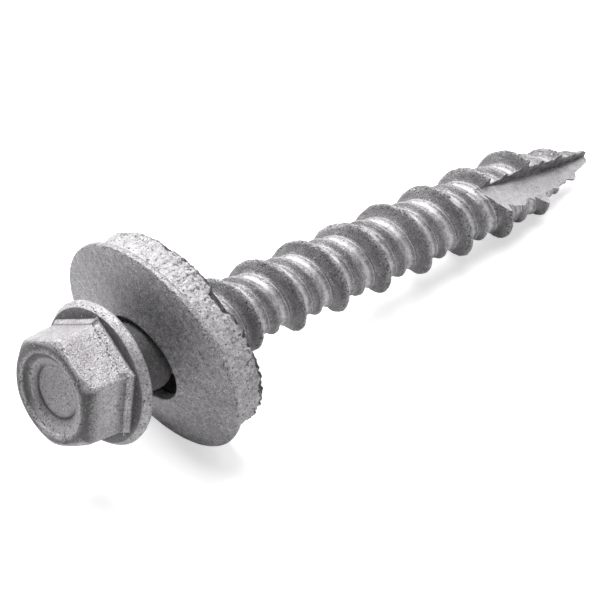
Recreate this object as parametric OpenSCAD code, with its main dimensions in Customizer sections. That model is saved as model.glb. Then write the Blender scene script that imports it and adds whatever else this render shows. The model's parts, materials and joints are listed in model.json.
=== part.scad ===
// Hex washer head timber screw with a bonded sealing washer, lying on a surface as it comes to rest.
// Units are millimetres. +X runs from head to tip, +Z is up, and the surface is at Z = 0.

/* [Head] */
// Width of the hex across its flats
hex_across_flats = 8; // [7.5:0.1:9]
// Height of the head from the bearing face to the top
head_height = 4.95; // [4.4:0.05:6]
// Diameter of the round flange under the hex
flange_diameter = 10.95; // [10.4:0.05:12]
// Thickness of the flange at its front face
flange_thickness = 0.8; // [0.6:0.05:1.2]
// Diameter of the dished recess in the top
recess_diameter = 6.2; // [5:0.1:6.4]
// Depth of the dished recess
recess_depth = 0.5; // [0.3:0.05:0.9]

/* [Shank] */
// Length from the bearing face to the tip
screw_length = 50; // [44:1:58]
// Diameter of the plain neck under the head
neck_diameter = 5.45; // [5:0.05:5.7]
// Length of the plain neck
neck_length = 4.5; // [4.4:0.1:5.2]

/* [Thread] */
// Diameter over the high ridge
high_diameter = 6.3; // [6:0.05:6.5]
// Diameter over the low ridge
low_diameter = 5.2; // [4.9:0.05:5.5]
// Diameter at the root
root_diameter = 4.36; // [4.1:0.02:4.6]
// Advance of each ridge in one turn
thread_lead = 4.316; // [4:0.002:4.8]

/* [Point] */
// Length over which the core narrows to the tip
point_length = 7.6; // [6:0.2:10]
// Diameter of the blunt tip
tip_diameter = 0.74; // [0.5:0.02:1]
// Length of the slash notch at the root surface
notch_length = 12.9; // [9:0.1:15]

/* [Sealing washer] */
// Diameter of the steel disc
disc_diameter = 17.5; // [16:0.1:20]
// Thickness of the steel disc
disc_thickness = 1; // [0.8:0.05:1.2]
// Rise of the disc from its rim to its hole, toward the head
dome_height = 1.25; // [0.8:0.05:1.4]
// Diameter of the hole in the disc
hole_diameter = 7.2; // [7.1:0.05:7.6]
// Diameter of the rubber seal at its back face
seal_diameter = 16.2; // [14:0.1:16.2]
// Distance from the disc's rim to the seal's back face
seal_depth = 3; // [2.4:0.1:3.4]
// Distance from the bearing face to the disc's rim along the screw
washer_distance = 4.8; // [4.6:0.1:5.4]
// Tilt of the washer on the screw
washer_tilt = 16.4; // [14:0.1:18]

/* [Hidden] */
$fa = 6;
$fs = 0.3;

// Turn of the hex, of the first thread crest, of the notch and of the washer's tilt about the screw
hex_turn = -2;
crest_start = 2.94;
notch_turn = 20.6;
tilt_turn = -7;

high_height = (high_diameter - root_diameter) / 2;
low_height = (low_diameter - root_diameter) / 2;
tip_radius = tip_diameter / 2;
top_radius = hex_across_flats * 0.465;
chamfer_width = 1.15;
chamfer_drop = 0.6;
flare_height = 0.55;
flare_width = 0.22;
seal_clearance = 0.2;

// The ridges: offset along the screw from the crest of the high ridge, share of high and of low height
low_offset = thread_lead * 0.4876;
stations = [
  [-0.78, 0, 0], [-0.50, 0.13, 0], [-0.17, 0.93, 0], [0, 1, 0], [0.17, 0.93, 0], [0.38, 0.13, 0],
  [0.60, 0, 0], [low_offset - 0.52, 0, 0], [low_offset - 0.15, 0.9, 1], [low_offset + 0.12, 0.95, 1],
  [low_offset + 0.42, 0, 0], [low_offset + 0.8, 0, 0]
];
slices = 32;
rows = len(stations);
turns = ceil((screw_length - crest_start + 1) / thread_lead) + 2;

// Core radius, and how much of the ridges is left, along the screw
taper = (root_diameter / 2 - tip_radius) / point_length;
function core(z) = max(0.1, min(root_diameter / 2, tip_radius + (screw_length - z) * taper));
function ramp(z, a, b) = max(0, min(1, (z - a) / (b - a)));
function fade(z) = ramp(z, neck_length - 0.3, neck_length + 2.2)
  * (1 - 0.86 * ramp(z, screw_length - 8.4, screw_length));
function station_height(s, z) = fade(z) * s[1] * (s[2] == 0 ? high_height : low_height);

function grid_point(k, j) =
  let(
    s = stations[k % rows],
    z = crest_start - thread_lead + thread_lead * (floor(k / rows) + j / slices) + s[0],
    r = core(z) + station_height(s, z),
    a = 360 * j / slices
  ) [r * cos(a), r * sin(a), z];
function index(k, j) = j < slices ? k * slices + j : (k + rows) * slices + j - slices;

// The lie of the screw: its disc rim and its lowest thread crest both touch the surface
tilt_up = sin(washer_tilt) * cos(tilt_turn);
rim_radius = disc_diameter / 2;
rim_inset = 0.12;
function rise(t) = -cos(washer_tilt) * sin(t) + tilt_up * cos(t);
function rim_low(t) = rim_radius * sqrt(1 - pow(rise(t), 2))
  + washer_distance * sin(t) - rim_inset * rise(t);
function crest_low(t) = max([
  for (i = [4 : turns])
    let(z = crest_start + thread_lead * (i - 0.5))
      if (z < screw_length - 1) z * sin(t) + (core(z) + fade(z) * high_height) * cos(t)
]);
function solve(a, b, n) =
  let(m = (a + b) / 2)
    n == 0 ? m : crest_low(m) < rim_low(m) ? solve(m, b, n - 1) : solve(a, m, n - 1);
lie = solve(2, 16, 30);
lie_height = rim_low(lie);
lie_middle = ((screw_length - head_height) * cos(lie) - top_radius * sin(lie)) / 2;

// From the screw's own frame, with its axis along Z and local X facing up, to where it lies
module lying() {
  translate([-lie_middle, 0, lie_height])
    rotate([0, 90 + lie, 0])
      rotate([0, 0, 180])
        children();
}

// From the washer's own frame to the screw's
module on_neck() {
  translate([0, 0, washer_distance])
    rotate([0, 0, tilt_turn])
      rotate([0, washer_tilt, 0])
        children();
}

module hex(across, height) {
  linear_extrude(height)
    rotate([0, 0, hex_turn])
      circle(r = across / sqrt(3), $fn = 6);
}

// The hex's corners are rounded off by a large sphere through the edge of the flat top
chamfer_centre = (2 * chamfer_width * top_radius + pow(chamfer_width, 2) + pow(chamfer_drop, 2))
  / (2 * chamfer_drop);

module head() {
  difference() {
    intersection() {
      union() {
        translate([0, 0, -head_height])
          hex(hex_across_flats, head_height - flange_thickness / 2);
        translate([0, 0, -flange_thickness - flare_height])
          rotate([0, 0, hex_turn])
            cylinder(
              h = flare_height + 0.1,
              r1 = hex_across_flats / sqrt(3),
              r2 = (hex_across_flats + 2 * flare_width) / sqrt(3),
              $fn = 6
            );
      }
      translate([0, 0, chamfer_centre - head_height])
        sphere(r = norm([top_radius, chamfer_centre]));
    }
    translate([0, 0, -head_height - 0.1])
      cylinder(
        h = recess_depth + 0.1,
        r1 = recess_diameter / 2 + 0.17,
        r2 = recess_diameter / 2 - 0.85
      );
  }
}

module flange_and_neck() {
  flange_radius = flange_diameter / 2;
  neck_radius = neck_diameter / 2;
  rotate_extrude()
    polygon([
      [0, -flange_thickness], [flange_radius - 0.32, -flange_thickness],
      [flange_radius - 0.14, -flange_thickness + 0.07], [flange_radius - 0.03, -flange_thickness + 0.22],
      [flange_radius, -flange_thickness + 0.42], [flange_radius, -0.12], [flange_radius - 0.1, 0],
      [neck_radius + 0.2, 0], [neck_radius, 0.2], [neck_radius, neck_length - 0.55],
      [neck_radius - 0.08, neck_length - 0.25], [neck_radius - 0.3, neck_length],
      [root_diameter / 2 - 0.35, neck_length + 0.4], [0, neck_length + 0.4]
    ]);
}

// One closed skin over both ridges, drawn along the helix so that every crest and root is an edge line
module thread_skin() {
  last = (turns - 1) * rows;
  points = concat(
    [for (k = [0 : last + rows]) for (j = [0 : slices - 1]) grid_point(k, j)],
    [[0, 0, crest_start - thread_lead / 2], [0, 0, crest_start + thread_lead * (turns - 1.5)]]
  );
  first_centre = len(points) - 2;
  last_centre = len(points) - 1;
  faces = concat(
    [for (k = [0 : last - 1]) for (j = [0 : slices - 1])
      [index(k, j), index(k + 1, j), index(k + 1, j + 1)]],
    [for (k = [0 : last - 1]) for (j = [0 : slices - 1])
      [index(k, j), index(k + 1, j + 1), index(k, j + 1)]],
    [for (j = [0 : slices - 1]) [first_centre, index(0, j), index(0, j + 1)]],
    [for (k = [0 : rows - 1]) [first_centre, index(k + 1, 0), index(k, 0)]],
    [for (j = [0 : slices - 1]) [last_centre, index(last, j + 1), index(last, j)]],
    [for (k = [last : last + rows - 1]) [last_centre, index(k, 0), index(k + 1, 0)]]
  );
  polyhedron(points, faces);
}

// The slash notch: a wall just past the axis, and a shelf at right angles to it that deepens to the tip
module notch() {
  wall_offset = 0.15;
  end_depth = tip_radius * 1.8;
  slope = atan((root_diameter / 2 + end_depth) / notch_length);
  reach = 12;
  translate([0, 0, screw_length])
    rotate([0, 0, notch_turn])
      translate([-end_depth, -wall_offset, 0])
        rotate([0, -slope, 0])
          translate([0, 0, -notch_length * 1.5])
            linear_extrude(notch_length * 1.5 + 3)
              square([reach, reach]);
}

module threaded_shank() {
  difference() {
    thread_skin();
    notch();
    translate([-5, -5, screw_length])
      cube([10, 10, 4 * thread_lead]);
  }
}

// Domed outline from the hole to the rim, shared by the disc and the rubber behind it
function dome(r) =
  let(u = ramp(r, hole_diameter / 2, rim_radius - 0.3)) -dome_height * (1 - u) * (1 - 0.35 * u);
dome_radii = [for (i = [0 : 6]) hole_diameter / 2 + (rim_radius - 0.3 - hole_diameter / 2) * i / 6];

module disc() {
  rotate_extrude()
    polygon(concat(
      [for (r = dome_radii) [r, dome(r)]],
      [
        [rim_radius - 0.06, 0.08], [rim_radius, 0.24], [rim_radius, disc_thickness - 0.24],
        [rim_radius - 0.06, disc_thickness - 0.08]
      ],
      [for (i = [6 : -1 : 0]) [dome_radii[i], dome(dome_radii[i]) + disc_thickness]]
    ));
}

module seal() {
  rotate_extrude()
    polygon(concat(
      [for (r = dome_radii) [r, dome(r) + disc_thickness]],
      [[seal_diameter / 2, seal_depth - 0.15], [seal_diameter / 2 - 0.15, seal_depth], [2.2, seal_depth],
        [2.2, dome(hole_diameter / 2) + disc_thickness]]
    ));
}

module screw() {
  color([0.56, 0.55, 0.56])
    lying() {
      head();
      flange_and_neck();
      threaded_shank();
    }
}

module steel_washer() {
  color([0.5, 0.5, 0.51])
    lying()
      on_neck()
        disc();
}

module rubber_seal() {
  color([0.42, 0.42, 0.43])
    lying()
      difference() {
        on_neck()
          seal();
        cylinder(h = 24, r = high_diameter / 2 + seal_clearance);
      }
}

screw();
steel_washer();
rubber_seal();
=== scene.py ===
import json
import math

import bmesh
import bpy
import numpy as np
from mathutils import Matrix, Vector


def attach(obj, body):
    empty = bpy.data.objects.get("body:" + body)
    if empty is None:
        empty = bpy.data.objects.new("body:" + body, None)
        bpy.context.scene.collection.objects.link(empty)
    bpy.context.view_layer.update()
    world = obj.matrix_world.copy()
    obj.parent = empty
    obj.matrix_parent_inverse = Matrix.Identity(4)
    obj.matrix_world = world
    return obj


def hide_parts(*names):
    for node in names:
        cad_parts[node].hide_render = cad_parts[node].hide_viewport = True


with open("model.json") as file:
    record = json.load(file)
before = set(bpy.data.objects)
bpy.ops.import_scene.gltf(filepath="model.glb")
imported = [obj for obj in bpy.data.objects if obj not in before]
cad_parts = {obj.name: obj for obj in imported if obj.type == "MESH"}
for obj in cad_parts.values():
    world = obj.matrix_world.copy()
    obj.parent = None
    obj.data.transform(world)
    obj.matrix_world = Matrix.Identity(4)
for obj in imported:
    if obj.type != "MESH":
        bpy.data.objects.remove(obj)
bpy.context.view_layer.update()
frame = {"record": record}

# The lie of the screw
# The screw lies with its washer's rim and its thread on the surface, so its axis slopes down to the tip.
# Every piece is worked out in millimetres along and around that axis, then laid in the frame in metres.

turn_joint = frame["record"]["behaviour"]["joints"][0]
screw_axis = np.array(turn_joint["axis"]) / np.linalg.norm(turn_joint["axis"])
screw_up = np.array([-screw_axis[2], 0.0, screw_axis[0]])
screw_side = np.array([0.0, -1.0, 0.0])
washer_distance = 4.8
bearing_centre = np.array(turn_joint["pos_m"]) - 0.001 * washer_distance * screw_axis


def lay(along, radius, angle):
    """A point at a distance along the axis from the bearing face, a radius and an angle from upright."""
    along, radius, angle = np.broadcast_arrays(along, radius, angle)
    offset = (
        along[..., None] * screw_axis
        + (radius * np.cos(angle))[..., None] * screw_up
        + (radius * np.sin(angle))[..., None] * screw_side
    )
    return bearing_centre + 0.001 * offset


# Screw head
# A cold-forged hex with a dished top and a round flange, in one piece with the plain neck below it.
# The zinc is tumbled on cold, so every edge is soft and pitted and the flats are slightly lumpy.

hex_apothem = 4.0
hex_turn = math.radians(-2)
head_top = -4.95
flange_front = -0.8
flange_radius = 5.475
neck_radius = 2.725


def lumps(points, size, seed):
    """Smooth random field: a random number at each corner of a cubic lattice, blended across each cell."""
    cell = np.floor(points / size)
    part = points / size - cell
    part = part * part * (3 - 2 * part)
    total = 0
    for corner in np.ndindex(2, 2, 2):
        key = (cell + corner) @ np.array([12.9898, 78.233, 37.719]) + seed * 3.17
        number = np.modf(np.abs(np.sin(key) * 43758.5453))[0] * 2 - 1
        weight = np.prod(np.where(corner, part, 1 - part), axis=-1)
        total = total + number * weight
    return total


def ease(x):
    """Smooth step from 0 to 1."""
    x = np.clip(x, 0, 1)
    return x * x * (3 - 2 * x)


def between(angle, low, high, blur):
    """One inside a range of angles in degrees, easing to nothing over the blur outside it."""
    off = np.abs((np.degrees(angle) - (low + high) / 2 + 180) % 360 - 180)
    return ease(1 - (off - (high - low) / 2) / blur)


def rounded_hex(angle, apothem, rounding):
    """Radius of a hexagon at an angle: the apothem over a cosine on the flats.
    At each corner it follows a circle of the rounding's radius instead."""
    turn = np.abs((angle - hex_turn) % (math.pi / 3) - math.pi / 6)
    centre = (apothem - rounding) / math.cos(math.pi / 6)
    off = math.pi / 6 - turn
    reach = np.maximum(rounding**2 - (centre * np.sin(off)) ** 2, 0)
    on_corner = turn > np.arctan2(centre * 0.5, apothem)
    return np.where(on_corner, centre * np.cos(off) + np.sqrt(reach), apothem / np.cos(turn))


def soften(keys, cuts, steps):
    """Polylines through key points, each inner corner replaced by a parabola cut back by its distance."""
    path = [keys[:, 0]]
    for i in range(1, keys.shape[1] - 1):
        here = keys[:, i]
        back = keys[:, i - 1] - here
        on = keys[:, i + 1] - here
        back_length = np.maximum(np.linalg.norm(back[:, :2], axis=1, keepdims=True), 1e-9)
        on_length = np.maximum(np.linalg.norm(on[:, :2], axis=1, keepdims=True), 1e-9)
        start = here + back * np.minimum(cuts[i] / back_length, 0.48)
        end = here + on * np.minimum(cuts[i] / on_length, 0.48)
        for t in np.linspace(0, 1, steps):
            path.append((1 - t) ** 2 * start + 2 * t * (1 - t) * here + t**2 * end)
    path.append(keys[:, -1])
    return np.stack(path, axis=1)


def refine(path, spacing):
    """Extra points on a bundle of paths, so that no step of the longest one is over the spacing."""
    pieces = []
    for i in range(path.shape[1] - 1):
        a, b = path[:, i], path[:, i + 1]
        longest = np.linalg.norm((b - a)[:, :2], axis=1).max()
        count = max(1, int(np.ceil(longest / spacing)))
        share = np.arange(count) / count
        pieces.append(a[:, None] + (b - a)[:, None] * share[None, :, None])
    pieces.append(path[:, -1:])
    return np.concatenate(pieces, axis=1)


def skin(name, points, marks):
    """A mesh over a grid of points, with one face to each cell.
    Points that meet are welded, and marks are kept on the points."""
    rows, columns = points.shape[:2]
    number = np.arange(rows * columns).reshape(rows, columns)
    faces = np.stack([number[:-1, :-1], number[1:, :-1], number[1:, 1:], number[:-1, 1:]], axis=-1)
    mesh = bpy.data.meshes.new(name)
    mesh.from_pydata(points.reshape(-1, 3).tolist(), [], faces.reshape(-1, 4).tolist())
    for mark, values in marks.items():
        kept = mesh.attributes.new(mark, "FLOAT", "POINT")
        spread_out = np.broadcast_to(values, (rows, columns)).astype(np.float32)
        kept.data.foreach_set("value", spread_out.ravel())
    work = bmesh.new()
    work.from_mesh(mesh)
    bmesh.ops.remove_doubles(work, verts=work.verts, dist=2e-6)
    bmesh.ops.dissolve_degenerate(work, edges=work.edges, dist=1e-7)
    bmesh.ops.recalc_face_normals(work, faces=work.faces)
    work.to_mesh(mesh)
    work.free()
    mesh.shade_smooth()
    mesh.set_sharp_from_angle(angle=math.radians(40))
    piece = bpy.data.objects.new(name, mesh)
    bpy.context.scene.collection.objects.link(piece)
    return piece


def head_angles():
    """Angles around the hex, closer together at its corners."""
    t = np.linspace(-1, 1, 49)[:-1]
    sector = math.pi / 6 * (0.45 * t + 0.55 * np.sin(t * math.pi / 2))
    turns = math.pi / 6 + np.arange(6) * math.pi / 3
    around = hex_turn + (turns[:, None] + sector[None, :]).ravel()
    return np.append(around, around[0] + 2 * math.pi)


def head_points():
    """The head's outline at each angle, from the dish's middle over the hex and flange to the neck's end.
    Each key point is a radius, a distance along, a softening, how much painted shade and grime it takes and
    how pitted it is."""
    angle = head_angles()
    one = np.ones_like(angle)
    circle = np.stack([np.cos(angle), np.sin(angle), 0 * angle], axis=-1)
    inner, middle, outer = (0.035 * lumps(2 * circle, 0.6, seed) for seed in (31, 32, 33))
    upper_flat = between(angle, 4, 52, 5)
    lower_flat = between(angle, 62, 114, 8)
    # low_left, top_left and left mostly set where the painted shade is strongest around the dish and ring;
    # low_left also raises the dish floor's edge.
    low_left = between(angle, 130, 280, 50)
    top_left = between(angle, 240, 355, 40)
    left = between(angle, 205, 320, 25)
    crease = 1 - 0.92 * upper_flat - 0.75 * lower_flat
    side_top = rounded_hex(angle, hex_apothem - 0.05, 0.7)
    side_high = rounded_hex(angle, hex_apothem - 0.02, 0.5)
    side_mid = rounded_hex(angle, hex_apothem, 0.3) + 0.03 * upper_flat
    side_low = rounded_hex(angle, hex_apothem, 0.12) + 0.14 * upper_flat
    from_corner = np.abs((angle - hex_turn + math.pi) % (2 * math.pi) - math.pi)
    fin = np.exp(-((from_corner / 0.03) ** 2))
    spur = rounded_hex(angle, hex_apothem + 0.24, 0.03) + 0.2 * fin
    chamfer = head_top + 0.34 + (side_top - hex_apothem) * 0.75
    halfway = head_top + 0.1 + (chamfer - head_top - 0.1) * 0.4
    ring = 3.64 + 0.4 * outer
    low_pits = 0.4 + 0.4 * lower_flat + 0.5 * upper_flat
    # The fourth number of each key is painted shade with some grime: in the dish's groove and under its upper
    # lip, at the ring's outer edge, on the chamfer over the lower flat, in the crease at the hex's foot, on
    # the flange's front face beside the hex, and over the neck, which the washer and flange shade.
    keys = [
        (0 * one, -4.2 * one, 0, 0.3, 0.3),
        (1.7 + inner, -4.22 * one, 0.1, 0.3, 0.3),
        (1.9 + inner, -4.24 * one, 0.06, 0.2 + 0.3 * low_left, 0.4),
        (2.04 + inner, -4.22 + 0.08 * low_left, 0.07, 0.3 + 0.7 * low_left, 0.5),
        (2.2 + inner, -4.28 * one, 0.1, 0.2 + 0.2 * low_left, 0.4),
        (2.6 + middle, -4.52 * one, 0.06, 0.15, 0.5),
        (2.68 + middle, -4.58 * one, 0.05, 0.1 + 0.5 * top_left, 0.4),
        (3.02 + outer, -4.72 * one, 0.06, 0.1 + 0.8 * top_left, 0.6),
        (3.16 + outer, -4.9 * one, 0.07, 0.0, 0.8),
        (3.34 + outer, head_top * one, 0.1, 0.3 + 0.3 * left, 0.9),
        (ring, (head_top + 0.1) * one, 0.06, 0.75 + 0.25 * left, 1.0),
        (ring * 0.45 + side_top * 0.55, halfway, 0.14, 0.1 + 0.8 * lower_flat + 0.5 * left, 0.6),
        (side_top, chamfer, 0.2, 0.1 + 0.4 * lower_flat, 0.5 + 0.5 * lower_flat),
        (side_high, -3.6 * one, 0.2, 0.0, 0.1),
        (side_mid, -2.4 * one, 0.2, 0.0, 0.1),
        (side_low, -1.5 * one, 0.08, 0.2 * crease + 0.4 * lower_flat, low_pits),
        (side_low - 0.03 * crease + 0.1 * fin, -1.41 * one, 0.05, 0.9 * crease, 0.4),
        (side_low + 0.05 * crease + 0.15 * fin, -1.32 * one, 0.08, 0.1, 0.4),
        (spur, -0.98 * one, 0.08, 0.0, 0.4),
        (spur, (flange_front - 0.02) * one, 0.05, 0.8, 0.4),
        (5.08 * one, flange_front * one, 0.03, 0.6, 0.3),
        (5.15 * one, (flange_front + 0.1) * one, 0.06, 0.0, 0.5),
        (5.38 * one, (flange_front + 0.38) * one, 0.14, 0.0, 0.4),
        (flange_radius * one, -0.22 * one, 0.1, 0.0, 0.5),
        ((flange_radius - 0.07) * one, 0 * one, 0.08, 0.3, 0.4),
        ((neck_radius + 0.15) * one, 0 * one, 0.1, 1.0, 0.5),
        (neck_radius * one, 0.15 * one, 0.1, 0.9, 0.6),
        (neck_radius * one, 4.2 * one, 0.2, 0.6, 0.6),
        ((neck_radius - 0.3) * one, 4.5 * one, 0.1, 0.6, 0.5),
        (1.83 * one, 4.9 * one, 0.1, 0.8, 0.5),
        (0 * one, 4.9 * one, 0, 0.8, 0.5),
    ]
    corners = np.stack([np.stack([r, z, h * one, p * one], axis=-1) for r, z, _, h, p in keys], axis=1)
    path = refine(soften(corners, [key[2] for key in keys], 6), 0.11)
    radius, along, shade_and_grime, pitted = (path[..., i] for i in range(4))
    place = np.stack([along, radius * np.cos(angle)[:, None], radius * np.sin(angle)[:, None]], axis=-1)
    uneven = 0.02 * lumps(place, 1.5, 1) + 0.014 * lumps(place, 0.5, 2)
    uneven = uneven + 0.018 * pitted * lumps(place, 0.22, 11)
    centred = np.clip(radius, 0, 1)
    uneven[-1] = uneven[0]
    points = lay(along + 0.5 * uneven * centred, radius + uneven * centred, angle[:, None])
    return points, {"shade_and_grime": shade_and_grime, "pitted": pitted}


def node(tree, kind, **inputs):
    """Adds a node. Each keyword is a socket's name, or the word in and its number.
    It is given a value or the socket that feeds it."""
    made = tree.nodes.new(kind)
    for key, value in inputs.items():
        socket = made.inputs[int(key[2:])] if key[:2] == "in" else made.inputs[key.replace("_", " ")]
        if isinstance(value, bpy.types.NodeSocket):
            tree.links.new(value, socket)
        else:
            socket.default_value = value
    return made


def speckle(tree, place, scale, detail, roughness):
    """Fractal noise of the given number of cells per metre."""
    made = node(tree, "ShaderNodeTexNoise", Vector=place, Scale=scale, Detail=detail, Roughness=roughness)
    return made.outputs["Fac"]


def ramp(tree, fac, stops):
    """A colour ramp with one grey stop for each pair of place and value."""
    made = node(tree, "ShaderNodeValToRGB", Fac=fac)
    while len(made.color_ramp.elements) < len(stops):
        made.color_ramp.elements.new(0.5)
    for element, (place, value) in zip(made.color_ramp.elements, stops):
        element.position = place
        element.color = (value, value, value, 1)
    return made.outputs["Color"]


def blend(tree, kind, fac, a, b):
    """Two colours mixed by the named mode."""
    made = tree.nodes.new("ShaderNodeMix")
    made.data_type = "RGBA"
    made.blend_type = kind
    for socket, value in ((made.inputs[0], fac), (made.inputs[6], a), (made.inputs[7], b)):
        if isinstance(value, bpy.types.NodeSocket):
            tree.links.new(value, socket)
        else:
            socket.default_value = value
    return made.outputs[2]


def sum_of(tree, a, b, factor):
    """The first value plus the second times a factor."""
    made = tree.nodes.new("ShaderNodeMath")
    made.operation = "MULTIPLY_ADD"
    for socket, value in zip(made.inputs, (b, factor, a)):
        if isinstance(value, bpy.types.NodeSocket):
            tree.links.new(value, socket)
        else:
            socket.default_value = value
    return made.outputs[0]


def mark(tree, name):
    """A value kept on the mesh's points."""
    made = tree.nodes.new("ShaderNodeAttribute")
    made.attribute_name = name
    return made.outputs["Fac"]


def zinc_coat(name, dark, light, shade_and_grime_strength, metal, depth=1.0, streaky=False, marked=True):
    """Matt zinc: cloudy grey with a fine raised grain, painted glints as bright specks, pits at edges, and
    painted shade with some grime in hollows.
    On the thread it also has streaks that follow the ridges, and painted highlights with some wear on its
    roots and bead tops.
    A freshly cut face has no marks kept on its points, so it takes none."""
    plain_mark = 0.2
    shade_and_grime_colour = (0.1, 0.098, 0.1, 1)
    highlight_and_wear_colour = (0.97, 0.95, 0.97, 1)
    material = bpy.data.materials.new(name)
    material.use_nodes = True
    tree = material.node_tree
    shader = tree.nodes["Principled BSDF"]
    place = tree.nodes.new("ShaderNodeTexCoord").outputs["Object"]
    cloud = speckle(tree, place, 420.0, 4.0, 0.6)
    mottle = speckle(tree, place, 2600.0, 3.0, 0.6)
    grain = speckle(tree, place, 9500.0, 1.0, 0.5)
    flecks = speckle(tree, place, 5600.0, 2.0, 0.6)
    glint_noise = speckle(tree, place, 7300.0, 1.0, 0.5)
    kinds = ("pitted", "shade_and_grime", "highlight_and_wear")
    pitted, shade_and_grime, highlight_and_wear_mark = (mark(tree, kind) if marked else plain_mark for kind in kinds)
    pit = ramp(tree, sum_of(tree, flecks, pitted, 0.15), [(0.65, 0.0), (0.76, 0.9)])
    grey = blend(tree, "MIX", ramp(tree, cloud, [(0.32, 0.0), (0.68, 1.0)]), (*dark, 1), (*light, 1))
    grey = blend(tree, "MULTIPLY", 1.0, grey, ramp(tree, grain, [(0.28, 1 - 0.6 * depth), (0.72, 1.0)]))
    grey = blend(tree, "MULTIPLY", 1.0, grey, ramp(tree, mottle, [(0.3, 1 - 0.45 * depth), (0.65, 1.0)]))
    if streaky:
        along_ridge = node(tree, "ShaderNodeCombineXYZ", X=mark(tree, "lane"), Y=mark(tree, "round"))
        streak = speckle(tree, along_ridge.outputs[0], 1.0, 3.0, 0.6)
        grey = blend(tree, "MULTIPLY", 1.0, grey, ramp(tree, streak, [(0.32, 0.6), (0.62, 1.0)]))
    # Painted glints: scattered white specks, a few more in the hollows.
    painted_glints = ramp(tree, sum_of(tree, glint_noise, shade_and_grime, 0.02), [(0.71, 0.0), (0.79, 0.8)])
    # Painted shade with some grime: hollows and marked shaded sides darken toward a near-black grey.
    shade_and_grime_mix = ramp(tree, sum_of(tree, shade_and_grime, mottle, 0.5), [(0.3, 0.0), (1.0, shade_and_grime_strength)])
    grey = blend(tree, "MIX", shade_and_grime_mix, grey, shade_and_grime_colour)
    grey = blend(tree, "MIX", pit, grey, shade_and_grime_colour)
    # Painted highlights with some wear: the thread's roots and bead tops lighten toward bright zinc, as does
    # each glint speck.
    highlight_and_wear = ramp(tree, sum_of(tree, highlight_and_wear_mark, mottle, 0.7), [(0.5, 0.0), (1.0, 0.6)])
    grey = blend(tree, "MIX", blend(tree, "LIGHTEN", 1.0, painted_glints, highlight_and_wear), grey, highlight_and_wear_colour)
    tree.links.new(grey, shader.inputs["Base Color"])
    shader.inputs["Metallic"].default_value = metal
    tree.links.new(ramp(tree, mottle, [(0.3, 0.4), (0.7, 0.58)]), shader.inputs["Roughness"])
    height = blend(tree, "SUBTRACT", 0.5, blend(tree, "MIX", 0.4, grain, mottle), pit)
    bump = node(tree, "ShaderNodeBump", Height=height, Strength=0.8, Distance=0.00011)
    tree.links.new(bump.outputs["Normal"], shader.inputs["Normal"])
    return material


screw_zinc = zinc_coat("screw_zinc", (0.7, 0.675, 0.705), (0.93, 0.9, 0.935), 0.92, 0.42, depth=0.8)
screw_head = skin("screw_head", *head_points())
screw_head.data.materials.append(screw_zinc)
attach(screw_head, "screw")
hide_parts("screw")

# Threaded shank
# The thread is rolled into the same steel: a high and a low ridge side by side, turning to the right.
# Rolling leaves a low bead at the foot of each ridge, and one crest has been knocked flat for a short way.
# The point tapers to a blunt tip, and a slash notch is cut along it through ridges and core.

screw_length = 50.0
root_radius = 2.18
thread_lead = 4.316
crest_start = 2.94
low_offset = 0.4876 * thread_lead
point_length = 7.6
tip_radius = 0.4
notch_length = 12.9
notch_turn = math.radians(20.6)
notch_wall_offset = 0.15
notch_slope = 0.2206
notch_floor_end = 0.0


def ridge_section(offset):
    """Height over the root at an offset along from the high crest: straight flanks softened at their ends.
    Each ridge has a bead, its near flank, its crest and its far flank, as offsets and heights."""
    high_at = [-1.5, -1.28, -1.0, -0.95, -0.84]
    high_to = [0, 0.08, 0.23, 0.22, 0]
    high_at += [-0.76, -0.62, -0.4, -0.2, -0.09, 0.02, 0.11, 0.19, 0.34, 0.44, 0.56]
    high_to += [0, 0.11, 0.45, 0.82, 0.95, 0.97, 0.94, 0.82, 0.3, 0.07, 0]
    low_at = [-1.08, -0.9, -0.74, -0.7, -0.61]
    low_to = [0, 0.07, 0.17, 0.16, 0]
    low_at += [-0.54, -0.44, -0.28, -0.14, -0.05, 0.06, 0.13, 0.27, 0.38, 0.5]
    low_to += [0, 0.05, 0.23, 0.39, 0.42, 0.42, 0.37, 0.12, 0.02, 0]
    fine = np.linspace(-thread_lead / 2, thread_lead / 2, 2400, endpoint=False)
    low_fine = (fine - low_offset + thread_lead / 2) % thread_lead - thread_lead / 2
    height = np.maximum(np.interp(fine, high_at, high_to), np.interp(low_fine, low_at, low_to))
    spread = np.exp(-0.5 * (np.arange(-80, 81) / 8.0) ** 2)
    padded = np.concatenate([height[-80:], height, height[:80]])
    soft = np.convolve(padded, spread / spread.sum(), "valid")
    return np.interp((offset + thread_lead / 2) % thread_lead - thread_lead / 2, fine, soft)


def row_places(rows, start):
    """Places over one lead from a start, closer together where the section bends."""
    fine = np.linspace(0, thread_lead, 2401)
    slope = np.gradient(ridge_section(start + fine), fine)
    bend = np.minimum(np.abs(np.gradient(slope, fine)), 14)
    pull = np.convolve(np.pad(1 + 0.25 * bend, 30, "wrap"), np.ones(61) / 61, "valid")
    total = np.cumsum(pull) - pull[0]
    return np.interp(np.arange(rows) / rows, total / total[-1], fine)


def pushed_out(along, angle):
    """How far the notch's cut pushed metal out below its edge, from none to one."""
    beside = ease(1 - np.abs(np.degrees(angle) - 78) / 32)
    return ease((along - 37.5) / 0.9) * ease((41.4 - along) / 1.4) * beside


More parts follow.
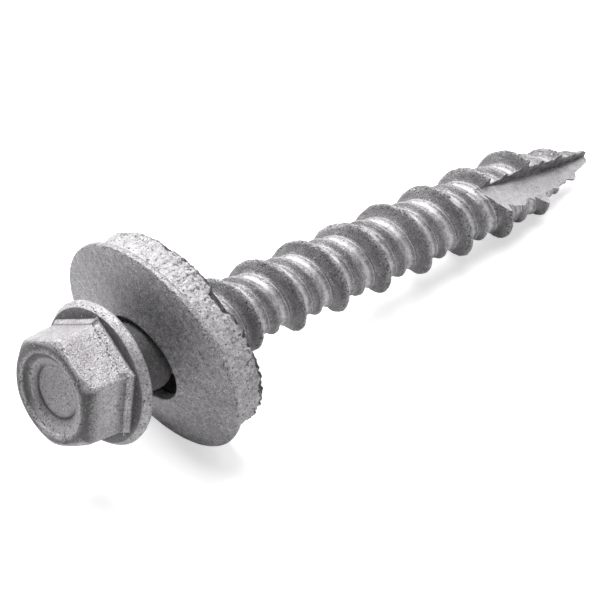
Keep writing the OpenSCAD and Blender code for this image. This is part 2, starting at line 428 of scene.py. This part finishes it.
def shank_radius(along, offset, angle):
    """Core plus ridges: the core narrows in a straight taper, and the ridges grow and fade at both ends."""
    taper = (root_radius - tip_radius) / point_length
    left = screw_length - along
    core = np.minimum(root_radius, tip_radius + left * taper)
    nose = np.sqrt(np.clip(1 - (1 - np.clip(left / 0.4, 0, 1)) ** 2, 0, 1))
    fading = (1 - 0.86 * np.clip((8.4 - left) / 8.4, 0, 1)) * ease((left + 0.3) / 2.2)
    height = ridge_section(offset) + 0 * along
    radius = (core + ease((along - 4.2) / 2.5) * fading * height) * nose
    radius = np.maximum(radius, core * nose + 0.64 * pushed_out(along, angle))
    knocked = np.abs(along - crest_start - thread_lead * (5 - 34 / 360)) < 1.0
    slant = 0.5 * np.clip((offset + thread_lead / 2) % thread_lead - thread_lead / 2, -0.6, 0.6)
    flat = (2.9 + slant) / np.cos(np.clip(angle - math.radians(326), -0.9, 0.9))
    return np.where(knocked, np.minimum(radius, flat), radius), height


def shank_points():
    """Rows follow the helix, so each ridge is one straight line of the grid wound around the core.
    Lane and round are places across and along the ridges, for the streaks in the finish."""
    rows, columns, turns = 100, 84, 13
    first = crest_start - thread_lead - 0.8
    shares = row_places(rows, first - crest_start)
    offset = (np.arange(turns)[:, None] * thread_lead + shares[None, :]).reshape(-1, 1)
    angle = np.linspace(0, 2 * math.pi, columns + 1)[None, :]
    along = first + offset + thread_lead * angle / (2 * math.pi)
    from_crest = first + offset - crest_start
    inside = np.clip(along, 4.0, screw_length)
    radius, height = shank_radius(inside, from_crest, angle)
    radius = np.where((along < 4.0) | (along > screw_length), 0, radius)
    place = np.stack([inside, radius * np.cos(angle), radius * np.sin(angle)], axis=-1)
    crest = ease((height - 0.3) / 0.5)
    beside_cut = between(angle + 0 * inside, 58, 88, 16)
    cut_edge = ease((inside - 36.2) / 0.8) * ease((41.4 - inside) / 1.4) * beside_cut
    uneven = 0.02 * lumps(place, 1.2, 3) + (0.012 + 0.016 * crest) * lumps(place, 0.42, 4)
    uneven = uneven + (0.008 + 0.03 * crest + 0.09 * cut_edge) * lumps(place, 0.24, 12)
    points = lay(inside, radius + uneven * np.clip(radius, 0, 1), angle + 0 * inside)

    def line(at, width):
        """One on a line along the ridges at an offset from the high crest, fading over a width."""
        away = (from_crest - at + thread_lead / 2) % thread_lead - thread_lead / 2
        return np.exp(-((away / width) ** 2))

    # These lines paint shade on the ridges' feet, flanks, head-side crescents and backs, and paint highlights
    # with some wear on the roots and bead tops, for how the light falls across the thread.
    shaded_feet = 0.7 * line(-0.79, 0.07) + 0.6 * line(low_offset - 0.57, 0.06)
    shaded_flanks = 0.46 * line(-0.42, 0.3) + 0.42 * line(low_offset - 0.28, 0.2)
    shaded_crescents = 0.3 * line(-1.14, 0.1) + 0.25 * line(low_offset - 0.84, 0.08)
    shaded_backs = 0.5 * line(0.2, 0.07) + 0.35 * line(low_offset + 0.17, 0.06)
    root_highlight = 0.55 * line(-1.42, 0.22) + 0.5 * line(low_offset - 1.12, 0.2)
    highlight_and_wear = np.clip(0.6 * line(-0.94, 0.07) + 0.6 * line(low_offset - 0.69, 0.06) + root_highlight, 0, 1)
    lane = 5.0 * (from_crest % thread_lead)
    turned = 1.6 * (angle + 2 * math.pi * np.floor(from_crest / thread_lead))
    pitted = 0.25 + 0.6 * crest + 0.3 * cut_edge
    shade_and_grime = np.clip(shaded_feet + shaded_flanks + shaded_crescents + shaded_backs, 0, 1)
    return points, {"shade_and_grime": shade_and_grime, "pitted": pitted, "highlight_and_wear": highlight_and_wear, "lane": lane, "round": turned}


def notch_solid():
    """A long block along the screw: a floor that slopes in and levels out near the tip, and an upright wall.
    Both are wrinkled; wall faces have material 2 and floor faces material 1."""
    along = np.linspace(30.0, screw_length + 1.2, 120)[:, None]
    cut_start = screw_length - notch_length
    level_from = cut_start + (root_radius - notch_floor_end) / notch_slope
    sloping = root_radius - notch_slope * (along - cut_start)
    level = notch_floor_end - 0.08 * (along - level_from)
    floor = (sloping + level + np.sqrt((sloping - level) ** 2 + 0.02)) / 2
    wall_heights = np.array([9.0, 3.0, 2.4, 1.8, 1.3, 0.9, 0.6, 0.35, 0.18, 0.07])
    floor_places = np.append(np.linspace(0.05, 4.25, 36), 9.0)
    height = np.concatenate([wall_heights, 0 * floor_places, [9.0]])[None, :]
    aside = np.concatenate([0 * wall_heights, floor_places, [9.0]])[None, :]
    stretch = np.stack(np.broadcast_arrays(0.4 * along, height, aside), axis=-1)
    wrinkle = 0.05 * lumps(stretch, 0.45, 15) + 0.025 * lumps(stretch, 0.2, 16)
    up = floor + height + wrinkle * (height < 0.1)
    out = aside - notch_wall_offset + 0.6 * wrinkle * (aside < 0.1)
    points = lay(along + 0 * out, np.hypot(up, out), np.arctan2(out, up) + notch_turn)
    rows, columns = up.shape
    number = np.arange(rows * columns).reshape(rows, columns)
    beyond = np.roll(number, -1, axis=1)
    sides = np.stack([number[:-1], number[1:], beyond[1:], beyond[:-1]], axis=-1).reshape(-1, 4)
    mesh = bpy.data.meshes.new("notch_cutter")
    ends = [number[0].tolist(), number[-1].tolist()]
    mesh.from_pydata(points.reshape(-1, 3).tolist(), [], sides.tolist() + ends)
    finish = np.where(np.arange(columns) < len(wall_heights), 2, 1)
    index = np.append(np.broadcast_to(finish, (rows - 1, columns)).ravel(), [1, 1])
    for used in ("thread_zinc", "lightened_notch_zinc", "shaded_wall_zinc"):
        mesh.materials.append(bpy.data.materials[used])
    mesh.polygons.foreach_set("material_index", index.astype(np.int32))
    work = bmesh.new()
    work.from_mesh(mesh)
    bmesh.ops.recalc_face_normals(work, faces=work.faces)
    work.to_mesh(mesh)
    work.free()
    cutter = bpy.data.objects.new("notch_cutter", mesh)
    bpy.context.scene.collection.objects.link(cutter)
    return cutter


def cut_away(piece, cutter):
    """Takes the cutter's solid out of the piece and keeps the result as its mesh.
    Slivers along the cut are welded, and pairs of faces folded onto each other are taken out."""
    change = piece.modifiers.new("cut", "BOOLEAN")
    change.operation = "DIFFERENCE"
    change.solver = "EXACT"
    change.object = cutter
    bpy.context.view_layer.update()
    result = bpy.data.meshes.new_from_object(piece.evaluated_get(bpy.context.evaluated_depsgraph_get()))
    piece.modifiers.clear()
    piece.data = result
    bpy.data.objects.remove(cutter)
    work = bmesh.new()
    work.from_mesh(result)
    bmesh.ops.remove_doubles(work, verts=work.verts, dist=8e-6)
    bmesh.ops.dissolve_degenerate(work, edges=work.edges, dist=2e-6)
    bmesh.ops.triangulate(work, faces=work.faces)
    crowded = [edge for edge in work.edges if len(edge.link_faces) > 2]
    near = list(dict.fromkeys(face for edge in crowded for face in edge.link_faces))
    corners = [frozenset(face.verts) for face in near]
    folded = [face for face, corner in zip(near, corners) if corners.count(corner) > 1]
    bmesh.ops.delete(work, geom=folded, context="FACES")
    work.to_mesh(result)
    work.free()
    result.shade_smooth()
    result.set_sharp_from_angle(angle=math.radians(35))


screw_shank = skin("screw_shank", *shank_points())
rolled_zinc = zinc_coat("thread_zinc", (0.78, 0.755, 0.785), (0.97, 0.94, 0.975), 0.85, 0.38, streaky=True)
# The notch's floor takes a lighter, less grained copy of the zinc: a smoother cut face, also lightened as
# painted light to make up for the wall's shade. The wall takes a dark copy: painted shade for a wall that
# stands in shadow.
lightened_floor_zinc = zinc_coat(
    "lightened_notch_zinc", (0.9, 0.87, 0.905), (0.98, 0.95, 0.985), 0.6, 0.38, depth=0.5, marked=False
)
shaded_wall_zinc = zinc_coat("shaded_wall_zinc", (0.17, 0.165, 0.17), (0.26, 0.25, 0.26), 0.6, 0.5, marked=False)
for coat in (rolled_zinc, lightened_floor_zinc, shaded_wall_zinc):
    screw_shank.data.materials.append(coat)
cut_away(screw_shank, notch_solid())
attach(screw_shank, "screw")
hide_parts("screw")

# Steel washer
# A disc stamped from sheet, pressed into a low dome and zinc plated, hanging loose and tilted on the neck.
# The sheet thins toward its rim, a rolled edge with a ragged front corner that is slightly off centre.

washer_tilt = math.radians(16.4)
tilt_turn = math.radians(-7)
rim_radius = 8.75
hole_radius = 3.6
disc_thickness = 1.0
dome_height = 1.25
rim_thinning = 0.35
thin_from = 7.6
rim_off_centre = 0.13
off_centre_turn = -0.7
tilt_way = math.cos(tilt_turn) * screw_up + math.sin(tilt_turn) * screw_side
washer_normal = math.cos(washer_tilt) * screw_axis + math.sin(washer_tilt) * tilt_way
washer_up = -math.sin(washer_tilt) * screw_axis + math.cos(washer_tilt) * tilt_way
washer_side = np.cross(washer_normal, washer_up)
washer_centre = np.array(turn_joint["pos_m"])


def on_washer(along, radius, angle):
    """A point in the washer's own frame: distance behind its rim, radius and angle from its upper edge."""
    along, radius, angle = np.broadcast_arrays(along, radius, angle)
    offset = (
        along[..., None] * washer_normal
        + (radius * np.cos(angle))[..., None] * washer_up
        + (radius * np.sin(angle))[..., None] * washer_side
    )
    return washer_centre + 0.001 * offset


def dome(radius):
    """Height of the disc's front face: falls from the hole to the rim, less steeply near the hole."""
    share = np.clip((radius - hole_radius) / (rim_radius - 0.3 - hole_radius), 0, 1)
    return -dome_height * (1 - share) * (1 - 0.35 * share)


def disc_back(radius):
    """Height of the disc's back face, where the sheet is pressed thinner toward its rim."""
    return dome(radius) + disc_thickness * (1 - rim_thinning * ease(radius - thin_from))


def disc_points():
    """A closed outline of the sheet's section, softened at its edges and carried round the washer's axis."""
    angle = np.linspace(0, 2 * math.pi, 289)
    radii = np.linspace(hole_radius + 0.12, rim_radius - 0.26, 14)
    # The fourth number of each key is painted shade with some grime: most on the back face and in the bore, a
    # little at the rim's front corner.
    front = [(r, dome(r), 0.1, 0.0, 0.15) for r in radii]
    rim = [
        (rim_radius - 0.05, 0.08, 0.1, 0.2, 1.0),
        (rim_radius, 0.3, 0.2, 0.0, 0.1),
        (rim_radius - 0.06, 0.56, 0.1, 0.0, 0.3),
    ]
    back = [(r, disc_back(r), 0.1, 0.5, 0.3) for r in radii[::-1]]
    hole_front = dome(hole_radius) + 0.1
    bore_middle = (hole_radius, hole_front + 0.4, 0.1, 0.3, 0.3)
    bore_back = (hole_radius, hole_front + 0.8, 0.1, 0.5, 0.3)
    hole_edge = (hole_radius, hole_front, 0.06, 0.1, 0.4)
    keys = [bore_middle, hole_edge, *front, *rim, *back, bore_back, bore_middle]
    corners = np.array([[r, z, h, p] for r, z, _, h, p in keys])[None]
    path = refine(soften(corners, [key[2] for key in keys], 5), 0.13)
    radius, along, shade_and_grime, pitted = (path[..., i] for i in range(4))
    off_centre = rim_off_centre * np.cos(angle - off_centre_turn)[:, None]
    radius = radius + off_centre * ease((radius - 6) / 2.5)
    across = radius * np.cos(angle)[:, None]
    aside = radius * np.sin(angle)[:, None]
    place = np.stack(np.broadcast_arrays(along, across, aside), axis=-1)
    uneven = 0.025 * lumps(place, 2.6, 5) + 0.008 * lumps(place, 0.6, 6)
    uneven = uneven + 0.03 * pitted**2 * lumps(place, 0.25, 13)
    uneven[-1] = uneven[0]
    points = on_washer(along + uneven, radius + 0.6 * uneven, angle[:, None])
    return points, {"shade_and_grime": shade_and_grime, "pitted": pitted}


washer_zinc = zinc_coat("washer_zinc", (0.74, 0.715, 0.75), (0.9, 0.87, 0.91), 0.7, 0.38, depth=1.1)
steel_washer = skin("sealing_disc", *disc_points())
steel_washer.data.materials.append(washer_zinc)
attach(steel_washer, "washer")
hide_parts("steel_washer")

# Rubber seal
# A ring of black rubber moulded onto the back of the disc and tumbled in the same zinc dust.
# Its dusted outer edge is cracked and pitted, and stands a little inside the disc's overhanging rim.
# Bare rubber shows in the cracks, at the torn back corner and in the bore.

seal_radius = 8.1
seal_depth = 3.0
seal_bore = 3.35


def seal_points():
    """The ring's section carried round the axis; the outer band is pushed in and out by torn, cracked noise.
    The band has closer rows than the sides that lie against the disc and face the neck."""
    angle = np.linspace(0, 2 * math.pi, 841)
    radii = np.linspace(seal_radius - 0.1, seal_bore + 0.3, 10)
    under = [(r, disc_back(r) + 0.01, 0.9) for r in radii]
    band = [
        (seal_radius + 0.06, disc_back(seal_radius), 0.0),
        (seal_radius + 0.03, 1.2, 0.0),
        (seal_radius, 2.0, 0.0),
        (seal_radius + 0.03, seal_depth - 0.4, 0.0),
        (seal_radius + 0.06, seal_depth - 0.14, 0.35),
    ]
    back = [(seal_radius - 0.08, seal_depth, 0.9), (seal_bore + 0.9, seal_depth, 0.9)]
    mouth = [(seal_bore + 0.72, seal_depth - 0.12, 1.0), (seal_bore + 0.35, 0.3, 1.0)]
    inside = refine(np.array([under[-1], *mouth[::-1], back[1]])[None], 0.4)
    behind = refine(np.array([back[1], back[0]])[None], 0.3)
    edge = refine(np.array([back[0], *band[::-1], under[0]])[None], 0.075)
    against = refine(np.array(under)[None], 0.4)
    path = np.concatenate([inside[:, :-1], behind[:, :-1], edge[:, :-1], against], axis=1)
    radius, along, bare = (path[..., i] for i in range(3))
    across = radius * np.cos(angle)[:, None]
    aside = radius * np.sin(angle)[:, None]
    place = np.stack(np.broadcast_arrays(along, across, aside), axis=-1)
    outer = ease((radius - 7.5) / 0.4) * ease((along - 0.8) / 0.25)
    torn = outer * ease((along - 2.1) / 0.8)
    chunk = between(angle, 41, 51, 4)[:, None] * ease((along - 2.0) / 0.4)
    fringe = between(angle, 92, 140, 14)[:, None]
    cracked = between(angle, 22, 75, 15)[:, None]
    rough = 0.035 * lumps(place, 0.55, 7) + 0.05 * lumps(place, 0.24, 8) + 0.04 * lumps(place, 0.14, 17)
    chips = np.minimum(lumps(place * np.array([0.5, 1, 1]), 0.9, 9) + 0.25, 0)
    jag = 0.2 * chips + (0.04 + 0.12 * fringe + 0.08 * cracked) * lumps(place, 0.26, 10) - 0.3 * chunk
    uneven = outer * rough + torn * jag
    uneven[-1] = uneven[0]
    points = on_washer(along + 0.5 * torn * jag, radius + uneven, angle[:, None])
    bare = np.clip(bare - 2.2 * torn * np.minimum(jag, 0) + 0.25 * fringe * ease((along - 2.5) / 0.4), 0, 1)
    return points, {"bare": bare, "rear": outer * ease((along - 1.5) / 0.8)}


def dusted_rubber(name):
    """Zinc-dusted rubber: grained light grey, with black rubber in short cracks across the edge.
    Black rubber also shows wherever the dust has come off."""
    rubber_black = (0.05, 0.048, 0.05, 1)
    thin_dust = (0.62, 0.6, 0.62, 1)
    thick_dust = (0.86, 0.84, 0.86, 1)
    material = bpy.data.materials.new(name)
    material.use_nodes = True
    tree = material.node_tree
    shader = tree.nodes["Principled BSDF"]
    place = tree.nodes.new("ShaderNodeTexCoord").outputs["Object"]
    cloud = speckle(tree, place, 700.0, 4.0, 0.6)
    mottle = speckle(tree, place, 2300.0, 3.0, 0.6)
    grain = speckle(tree, place, 6400.0, 2.0, 0.6)
    along_edge = node(tree, "ShaderNodeMapping", Vector=place)
    lean = math.atan2(washer_normal[2], washer_normal[0])
    along_edge.inputs["Rotation"].default_value = (0, lean, 0)
    along_edge.inputs["Scale"].default_value = (0.28, 1.0, 1.0)
    veins = speckle(tree, along_edge.outputs[0], 2600.0, 3.0, 0.6)
    vein = ramp(tree, veins, [(0.462, 0.0), (0.487, 1.0), (0.513, 0.0)])
    crack = blend(tree, "MULTIPLY", 1.0, vein, ramp(tree, cloud, [(0.46, 0.0), (0.56, 1.0)]))
    crack = blend(tree, "MULTIPLY", 1.0, crack, ramp(tree, mark(tree, "rear"), [(0.0, 0.15), (1.0, 1.0)]))
    fleck = ramp(tree, speckle(tree, place, 4600.0, 2.0, 0.55), [(0.58, 0.0), (0.67, 0.85)])
    grey = blend(tree, "MIX", ramp(tree, cloud, [(0.3, 0.0), (0.7, 1.0)]), thin_dust, thick_dust)
    grey = blend(tree, "MULTIPLY", 1.0, grey, ramp(tree, grain, [(0.32, 0.45), (0.46, 0.88), (0.66, 1.0)]))
    grey = blend(tree, "MULTIPLY", 1.0, grey, ramp(tree, mottle, [(0.3, 0.7), (0.6, 1.0)]))
    open_rubber = ramp(tree, sum_of(tree, mark(tree, "bare"), mottle, 0.6), [(0.5, 0.0), (0.8, 0.95)])
    grey = blend(tree, "MIX", crack, grey, rubber_black)
    grey = blend(tree, "MIX", fleck, grey, (0.08, 0.078, 0.08, 1))
    grey = blend(tree, "MIX", open_rubber, grey, rubber_black)
    tree.links.new(grey, shader.inputs["Base Color"])
    shader.inputs["Roughness"].default_value = 0.7
    raised = blend(tree, "MIX", 0.5, mottle, grain)
    sunk = blend(tree, "LIGHTEN", 1.0, crack, fleck)
    height = blend(tree, "SUBTRACT", 0.8, raised, sunk)
    bump = node(tree, "ShaderNodeBump", Height=height, Strength=0.7, Distance=0.0001)
    tree.links.new(bump.outputs["Normal"], shader.inputs["Normal"])
    return material


rubber_seal = skin("seal_ring", *seal_points())
rubber_seal.data.materials.append(dusted_rubber("seal_rubber"))
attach(rubber_seal, "washer")
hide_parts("rubber_seal")

# Studio
# A plain white sheet under the part, four soft lamps above, behind and to the right, and a dim fill all round.
# The camera has the long lens and the high three-quarter view of the picture.

reach = 0.6
sheet_corners = [(-reach, -reach, 0), (reach, -reach, 0), (reach, reach, 0), (-reach, reach, 0)]
floor_mesh = bpy.data.meshes.new("floor")
floor_mesh.from_pydata(sheet_corners, [], [(0, 1, 2, 3)])
floor = bpy.data.objects.new("floor", floor_mesh)
bpy.context.scene.collection.objects.link(floor)
sheet_lift = 0.6
white_sheet = bpy.data.materials.new("white_sheet")
white_sheet.use_nodes = True
sheet_tree = white_sheet.node_tree
sheet_shader = sheet_tree.nodes["Principled BSDF"]
sheet_shader.inputs["Base Color"].default_value = (0.85, 0.85, 0.85, 1)
sheet_shader.inputs["Roughness"].default_value = 0.9
sheet_shader.inputs["Emission Color"].default_value = (1, 1, 1, 1)
seen = sheet_tree.nodes.new("ShaderNodeLightPath")
lift = node(sheet_tree, "ShaderNodeMath", in0=seen.outputs["Is Camera Ray"], in1=sheet_lift)
lift.operation = "MULTIPLY"
sheet_tree.links.new(lift.outputs[0], sheet_shader.inputs["Emission Strength"])
floor_mesh.materials.append(white_sheet)

world = bpy.data.worlds.new("studio")
bpy.context.scene.world = world
world.use_nodes = True
world.node_tree.nodes["Background"].inputs["Color"].default_value = (1, 1, 1, 1)
world.node_tree.nodes["Background"].inputs["Strength"].default_value = 0.03


def soft_lamp(name, place, size, power):
    """A square soft lamp aimed at the part."""
    lamp = bpy.data.lights.new(name, "AREA")
    lamp.size = size
    lamp.energy = power
    holder = bpy.data.objects.new(name, lamp)
    holder.location = place
    holder.rotation_euler = (Vector((0, 0, 0.006)) - Vector(place)).to_track_quat("-Z", "Y").to_euler()
    bpy.context.scene.collection.objects.link(holder)


soft_lamp("overhead", (0.0, 0.0, 0.5), 0.25, 1.75)
soft_lamp("back", (0.0, 0.32, 0.38), 0.25, 2.0)
soft_lamp("low_back", (0.0, 0.47, 0.17), 0.25, 0.3)
soft_lamp("right", (0.32, 0.0, 0.38), 0.25, 0.7)

view_target = Vector((-0.0093686, -0.0070117, 0.0132121))
view_turn = math.radians(-132.633)
view_height = math.radians(41.577)
view_distance = 0.30967
camera_data = bpy.data.cameras.new("camera")
camera_data.sensor_width = 36.0
camera_data.lens = 262.07
camera_data.clip_start = 0.01
camera = bpy.data.objects.new("camera", camera_data)
level = math.cos(view_height)
sight = Vector((level * math.cos(view_turn), level * math.sin(view_turn), math.sin(view_height)))
camera.location = view_target + view_distance * sight
camera.rotation_euler = (-sight).to_track_quat("-Z", "Y").to_euler()
bpy.context.scene.collection.objects.link(camera)
bpy.context.scene.camera = camera
bpy.context.scene.view_settings.view_transform = "Standard"
